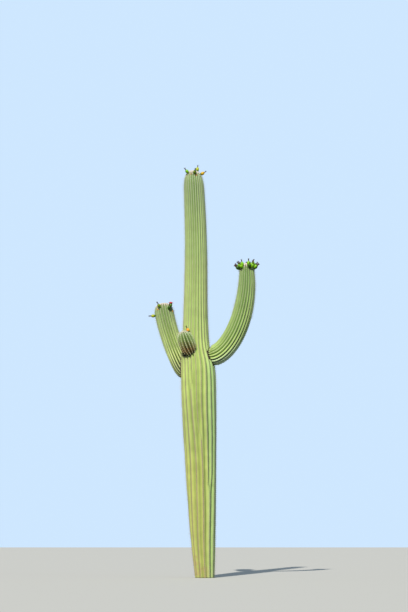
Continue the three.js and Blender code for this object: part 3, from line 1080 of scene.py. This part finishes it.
def grow_skin(name, stem, material, slot, *nodes):
    """A stem's skin, which keeps how far each vertex is from its dark mark: on an arm the crease
    where it meets the trunk, partly cork and partly painted shade, and on the trunk the painted
    shadow under the young arm.
    """
    values = {**stem.rib_plan, "Side": tuple(stem.side), "Material": material}
    skin = grown(name, axis_mesh(name + "_axis", stem), STEM_TREE, values)
    from_painted_shade = out_from_painted_shadow if stem is trunk else out_from_trunk
    keep_numbers(skin.data, "from_painted_shade", [from_painted_shade(v.co) for v in skin.data.vertices])
    finished(skin, slot, *nodes)
    return skin


def grow_on(skin, name, tree, start, end, plan, material, slot):
    """Grows spines or wool on a skin, between two distances along its stem."""
    values = {**plan, "From": start, "To": end, "Material": material}
    finished(grown(name, skin.data, tree, values), slot)


def stand(name, shape_mesh, places, material, seed, sizes=(1.0, 1.0), slot="fruit"):
    """Stands copies of one shape on the given places of fruit and joins them into one piece."""
    points = new_mesh(name + "_roots", [root for root, _, _ in places])
    keep_ways(points, [way for _, way, _ in places])
    shape = new_object(name + "_shape", shape_mesh)
    values = {"Shape": shape, "Seed": seed, "Material": material}
    values["Least Size"], values["Most Size"] = sizes
    piece = grown(name, points, STANDING_TREE, values)
    bpy.data.objects.remove(shape)
    finished(piece, slot)


trunk = Trunk()
right_arm = Arm(RIGHT_ARM)
left_arm = Arm(LEFT_ARM)
front_arm = Arm(FRONT_ARM)

trunk_skin = grow_skin("trunk_skin", trunk, TRUNK_SKIN, "trunk_skin", "trunk")
right_skin = grow_skin("right_arm_skin", right_arm, RIGHT_SKIN, "arm_skin", "right_arm_elbow",
                       "right_arm_upper")
left_skin = grow_skin("left_arm_skin", left_arm, LEFT_SKIN, "arm_skin", "left_arm")
front_skin = grow_skin("front_arm_skin", front_arm, YOUNG_SKIN, "young_skin", "front_arm")

OLD_SPINES = {"Count": 12, "Long Ones": 3, "Length": 0.016, "Long Length": 0.032,
              "Thickness": 0.0014, "Bare Tip": 0.03, "Seed": 11}
SHORT_SPINES = {**OLD_SPINES, "Count": 6, "Long Ones": 1, "Length": 0.009, "Long Length": 0.02}
YOUNG_SPINES = {"Count": 15, "Long Ones": 4, "Length": 0.018, "Long Length": 0.028,
                "Thickness": 0.0015, "Bare Tip": 0.0, "Seed": 23}
for skin, name, start, end, plan, material in (
    (trunk_skin, "trunk_spines_low", 0.03, 2.3, OLD_SPINES, SPINE_GREY),
    (trunk_skin, "trunk_spines_middle", 2.3, 4.2, OLD_SPINES, SPINE_STRAW),
    (trunk_skin, "trunk_spines_high", 4.2, BEYOND_TIP, OLD_SPINES, SPINE_PALE),
    (right_skin, "right_arm_spines_low", 0.1, 0.75, SHORT_SPINES, SPINE_PALE),
    (right_skin, "right_arm_spines_high", 0.75, BEYOND_TIP, OLD_SPINES, SPINE_PALE),
    (left_skin, "left_arm_spines_low", 0.1, 0.45, SHORT_SPINES, SPINE_PALE),
    (left_skin, "left_arm_spines_high", 0.45, BEYOND_TIP, OLD_SPINES, SPINE_PALE),
    (front_skin, "front_arm_spines_low", 0.07, 0.11, YOUNG_SPINES, SPINE_BROWN),
    (front_skin, "front_arm_spines_high", 0.11, BEYOND_TIP, YOUNG_SPINES, SPINE_YOUNG),
):
    grow_on(skin, name, SPINES_TREE, start, end, plan, material, "spines")

WOOL = {"Width": 0.0065, "Length": 0.009, "Height": 0.005, "Tip Growth": 3.2,
        "Tip Reach": 0.1, "Seed": 5}
YOUNG_WOOL = {"Width": 0.011, "Length": 0.013, "Height": 0.007, "Tip Growth": 0.8,
              "Tip Reach": 0.09, "Seed": 6}
for stem_name, stem, skin, pale_reach, plan, material in (
    ("trunk", trunk, trunk_skin, 0.1, WOOL, WOOL_GREY),
    ("right_arm", right_arm, right_skin, 0.08, WOOL, WOOL_GREY),
    ("left_arm", left_arm, left_skin, 0.1, WOOL, WOOL_GREY),
    ("front_arm", front_arm, front_skin, 0.02, YOUNG_WOOL, WOOL_YOUNG),
):
    edge = stem.length - pale_reach
    grow_on(skin, stem_name + "_wool", WOOL_TREE, 0.01, edge, plan, material, "wool")
    grow_on(skin, stem_name + "_tip_wool", WOOL_TREE, edge, BEYOND_TIP, plan, WOOL_PALE, "wool")

# The crown's dark fruit are partly painted shade between the fruit.
right_arm_fruit = (
    fruit_ring(13, first=-80, below=0.068, lean=50, left_out=12,
               kinds=("dark", "green", "green", "dark", "green"))
    + fruit_ring(8, first=-52, below=0.054, lean=38, left_out=7, kinds=("green", "dark"))
    + fruit_ring(7, first=-123, below=0.04, lean=12, kinds=("green",))
)
fruit = (
    fruit_places(trunk, TRUNK_FRUIT)
    + fruit_places(left_arm, LEFT_ARM_FRUIT)
    + fruit_places(front_arm, FRONT_ARM_FRUIT)
    + fruit_places(right_arm, right_arm_fruit)
)
scars = fruit_places(trunk, TRUNK_SCARS) + fruit_places(left_arm, LEFT_ARM_SCARS)


def of_kinds(*kinds):
    return [found for found in fruit if found[2] in kinds]


for number, (ripeness, material) in enumerate(FRUIT_SKINS.items()):
    stand(ripeness + "_fruit", fruit_shape("fruit"), of_kinds(ripeness), material,
          seed=40 + number, sizes=(0.96, 1.02))
stand("fruit_feet", fruit_shape("fruit_foot", reach=0.4, swell=1.04),
      of_kinds("yellow", "golden", "orange", "opened"), FRUIT_FOOT, seed=50)
stand("opened_rind", opened_shape(), of_kinds("opened"), RED_FLESH, seed=60)
stand("fruit_pulp", knob_shape("pulp", 0.025, 0.011, 0.066), of_kinds("opened"), RED_FLESH,
      seed=61)
stand("fruit_scars", knob_shape("scar", 0.012, 0.006, 0.0), scars, SCAR_TAN, seed=62,
      sizes=(0.8, 1.2))
stand("dried_flowers", dried_flower_shape(), of_kinds(*FRUIT_SKINS.keys() - {"opened"}),
      DRY_BROWN, seed=70, sizes=(0.94, 1.0), slot="dried_flower")

# A plain pale floor, sunlight from the front left, a weak fill, and the photograph's view.
CAMERA_PLACE = (-0.0103, -18.0, 0.5)
CAMERA_TILT = 9.6
FLOOR_COLOUR = linear(200, 198, 192)
FLOOR_BOUNCE = linear(84, 82, 78)
LENS = 80.8


def floor():
    """Looks pale, yet throws little light up at the plant."""
    far = 60.0
    corners = [(-far, -far, 0), (far, -far, 0), (far, far, 0), (-far, far, 0)]
    mesh = new_mesh("floor", corners, [(0, 1, 2, 3)])
    material, tree, shader = new_material("floor")
    seen = place(tree, "ShaderNodeLightPath", out="Is Camera Ray")
    feed(shader, "Base Color", mixed(seen, FLOOR_BOUNCE, FLOOR_COLOUR))
    shader.inputs["Roughness"].default_value = 0.9
    mesh.materials.append(material)
    new_object("floor", mesh)


def sun(name, azimuth, elevation, strength, softness, colour):
    """A far light. Azimuth 0 is the viewer's side, and it turns towards +X."""
    lamp = bpy.data.lights.new(name, "SUN")
    lamp.energy = strength
    lamp.angle = radians(softness)
    lamp.color = colour
    made = new_object(name, lamp)
    a = radians(azimuth)
    e = radians(elevation)
    towards = Vector((sin(a) * cos(e), -cos(a) * cos(e), sin(e)))
    made.rotation_euler = towards.to_track_quat("Z", "Y").to_euler()


def sky(colour, light, shown):
    """Even light from all round, and the paler backdrop that the camera sees."""
    world = bpy.data.worlds.new("studio")
    world.use_nodes = True
    scene.world = world
    tree = world.node_tree
    background = tree.nodes["Background"]
    background.inputs["Color"].default_value = colour
    seen = place(tree, "ShaderNodeLightPath", out="Is Camera Ray")
    tree.links.new((light + seen * (shown - light)).socket, background.inputs["Strength"])


def camera():
    lens = bpy.data.cameras.new("camera")
    lens.lens = LENS
    lens.clip_end = 200.0
    made = new_object("camera", lens)
    made.location = CAMERA_PLACE
    made.rotation_euler = (radians(90 + CAMERA_TILT), 0, 0)
    scene.camera = made


floor()
sun("key", -15, 37, strength=4.25, softness=1.0, colour=(1.0, 0.95, 0.86))
sun("fill", 55, 20, strength=0.35, softness=20.0, colour=(0.62, 0.82, 1.0))
sky((0.62, 0.8, 1.0, 1.0), light=0.38, shown=1.0)
camera()
scene.view_settings.view_transform = "Standard"
